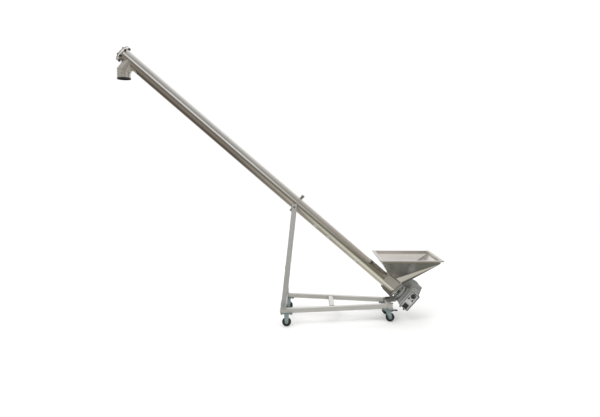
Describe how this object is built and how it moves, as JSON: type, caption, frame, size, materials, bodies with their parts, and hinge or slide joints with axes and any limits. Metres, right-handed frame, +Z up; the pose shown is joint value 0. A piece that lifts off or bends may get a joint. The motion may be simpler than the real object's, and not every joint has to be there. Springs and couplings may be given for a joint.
{
  "type": "inclined screw conveyor",
  "caption": "Mobile inclined grain auger: long steel tube with inner screw, feed hopper, worm gear drive, down-turned outlet and a wheeled A-frame base.",
  "frame": {"origin": "on the floor under the centre of the bounding box", "axes": "+X towards the hopper and the drive, -X towards the raised outlet, -Y side carries the control box, +Z up"},
  "size_m": [2.778, 0.606, 2.3687],
  "materials": {
    "polished_tube": "mirror-polished stainless steel",
    "brushed_stainless": "satin-brushed stainless steel",
    "hopper_sheet": "folded 2 mm stainless sheet, ground finish",
    "zinc_plate": "bright zinc plate",
    "shaft_steel": "turned steel",
    "cast_alloy": "shot-blasted die-cast aluminium",
    "bronze": "machined bronze",
    "tyre_rubber": "black rubber",
    "hub_plastic": "moulded grey plastic",
    "black_plastic": "moulded black plastic",
    "face_plate": "satin anodised plate",
    "dark_cover": "dark grey stove enamel"
  },
  "bodies": {
    "base": {"rail_near": "brushed_stainless", "rail_far": "brushed_stainless", "wide_cross_tube": "brushed_stainless", "middle_cross_tube": "brushed_stainless", "narrow_cross_tube": "brushed_stainless", "pivot_bracket": "brushed_stainless", "tilt_pin": "zinc_plate", "leg_socket_near": "brushed_stainless", "leg_socket_far": "brushed_stainless", "leg_pin_near": "zinc_plate", "leg_pin_far": "zinc_plate", "fixed_fork_near": "zinc_plate", "fixed_fork_far": "zinc_plate", "swivel_plate_near": "zinc_plate", "swivel_plate_far": "zinc_plate"},
    "conveyor": {"conveyor_tube": "polished_tube", "head_flange": "brushed_stainless", "head_cover": "brushed_stainless", "head_bearing": "cast_alloy", "discharge_spout": "brushed_stainless", "inlet_housing": "brushed_stainless", "hopper": "hopper_sheet", "hopper_rim": "hopper_sheet", "tail_flange": "brushed_stainless", "bearing_lantern": "cast_alloy", "tilt_saddle": "brushed_stainless", "gearbox_housing": "cast_alloy", "gearbox_cover": "cast_alloy", "motor_body": "cast_alloy", "fan_cover": "dark_cover", "terminal_box": "cast_alloy", "control_box": "cast_alloy", "control_face": "face_plate", "speed_display": "black_plastic"},
    "screw": {"auger_screw": "brushed_stainless", "drive_shaft": "shaft_steel", "worm_wheel": "bronze"},
    "rotor": {"motor_rotor": "shaft_steel", "cooling_fan": "black_plastic"},
    "knob": {"speed_knob": "black_plastic"},
    "start_button": {"start_button": "black_plastic"},
    "stop_button": {"stop_button": "black_plastic"},
    "leg_frame": {"leg_near": "brushed_stainless", "leg_far": "brushed_stainless", "leg_tie": "brushed_stainless"},
    "tube_clamp": {"clamp_half_near": "brushed_stainless", "clamp_half_far": "brushed_stainless", "clamp_bolt": "zinc_plate"},
    "fixed_wheel_near": {"fixed_tyre_near": "tyre_rubber", "fixed_hub_near": "hub_plastic"},
    "swivel_near": {"swivel_fork_near": "zinc_plate"},
    "swivel_wheel_near": {"swivel_tyre_near": "tyre_rubber", "swivel_hub_near": "hub_plastic"},
    "pedal_near": {"brake_pedal_near": "black_plastic"},
    "fixed_wheel_far": {"fixed_tyre_far": "tyre_rubber", "fixed_hub_far": "hub_plastic"},
    "swivel_far": {"swivel_fork_far": "zinc_plate"},
    "swivel_wheel_far": {"swivel_tyre_far": "tyre_rubber", "swivel_hub_far": "hub_plastic"},
    "pedal_far": {"brake_pedal_far": "black_plastic"}
  },
  "joints": [
    {"name": "conveyor_tilt", "type": "hinge", "parent": "base", "child": "conveyor", "pos_m": [1.02183, 0, 0.16836], "axis": [0, 1, 0], "range_deg": [-3, 3]},
    {"name": "leg_swing", "type": "hinge", "parent": "base", "child": "leg_frame", "pos_m": [0.053, 0, 0.19], "axis": [0, 1, 0], "range_deg": [-8, 8]},
    {"name": "clamp_turn", "type": "hinge", "parent": "leg_frame", "child": "tube_clamp", "pos_m": [0.14061, 0, 0.99771], "axis": [0, 1, 0], "range_deg": [-5, 5]},
    {"name": "screw_spin", "type": "hinge", "parent": "conveyor", "child": "screw", "pos_m": [1.07865, 0, 0.225], "axis": [0.757, 0, -0.6534], "continuous": true},
    {"name": "motor_spin", "type": "hinge", "parent": "conveyor", "child": "rotor", "pos_m": [1.17937, 0, 0.24374], "axis": [0, 1, 0], "continuous": true},
    {"name": "knob_turn", "type": "hinge", "parent": "conveyor", "child": "knob", "pos_m": [1.16424, -0.15, 0.22774], "axis": [0, 1, 0], "range_deg": [-140, 140]},
    {"name": "start_press", "type": "slide", "parent": "conveyor", "child": "start_button", "axis": [0, 1, 0], "range_m": [0, 0.0025], "stiffness_N_per_m": 400},
    {"name": "stop_press", "type": "slide", "parent": "conveyor", "child": "stop_button", "axis": [0, 1, 0], "range_m": [0, 0.0025], "stiffness_N_per_m": 400},
    {"name": "fixed_wheel_spin_near", "type": "hinge", "parent": "base", "child": "fixed_wheel_near", "pos_m": [0.078, -0.25363, 0.038], "axis": [0, 1, 0], "continuous": true},
    {"name": "swivel_turn_near", "type": "hinge", "parent": "base", "child": "swivel_near", "pos_m": [0.95, -0.11101, 0.09], "axis": [0, 0, 1], "continuous": true},
    {"name": "swivel_wheel_spin_near", "type": "hinge", "parent": "swivel_near", "child": "swivel_wheel_near", "pos_m": [0.972, -0.11101, 0.038], "axis": [0, 1, 0], "continuous": true},
    {"name": "brake_press_near", "type": "hinge", "parent": "swivel_near", "child": "pedal_near", "pos_m": [0.971, -0.11101, 0.0904], "axis": [0, 1, 0], "range_deg": [0, 8]},
    {"name": "fixed_wheel_spin_far", "type": "hinge", "parent": "base", "child": "fixed_wheel_far", "pos_m": [0.078, 0.25363, 0.038], "axis": [0, 1, 0], "continuous": true},
    {"name": "swivel_turn_far", "type": "hinge", "parent": "base", "child": "swivel_far", "pos_m": [0.95, 0.11101, 0.09], "axis": [0, 0, 1], "continuous": true},
    {"name": "swivel_wheel_spin_far", "type": "hinge", "parent": "swivel_far", "child": "swivel_wheel_far", "pos_m": [0.972, 0.11101, 0.038], "axis": [0, 1, 0], "continuous": true},
    {"name": "brake_press_far", "type": "hinge", "parent": "swivel_far", "child": "pedal_far", "pos_m": [0.971, 0.11101, 0.0904], "axis": [0, 1, 0], "range_deg": [0, 8]}
  ],
  "couplings": [
    {"joint": "motor_spin", "follows": "screw_spin", "ratio": 10},
    {"joint": "leg_swing", "follows": "conveyor_tilt", "ratio": 2.621},
    {"joint": "clamp_turn", "follows": "conveyor_tilt", "ratio": -1.621}
  ]
}
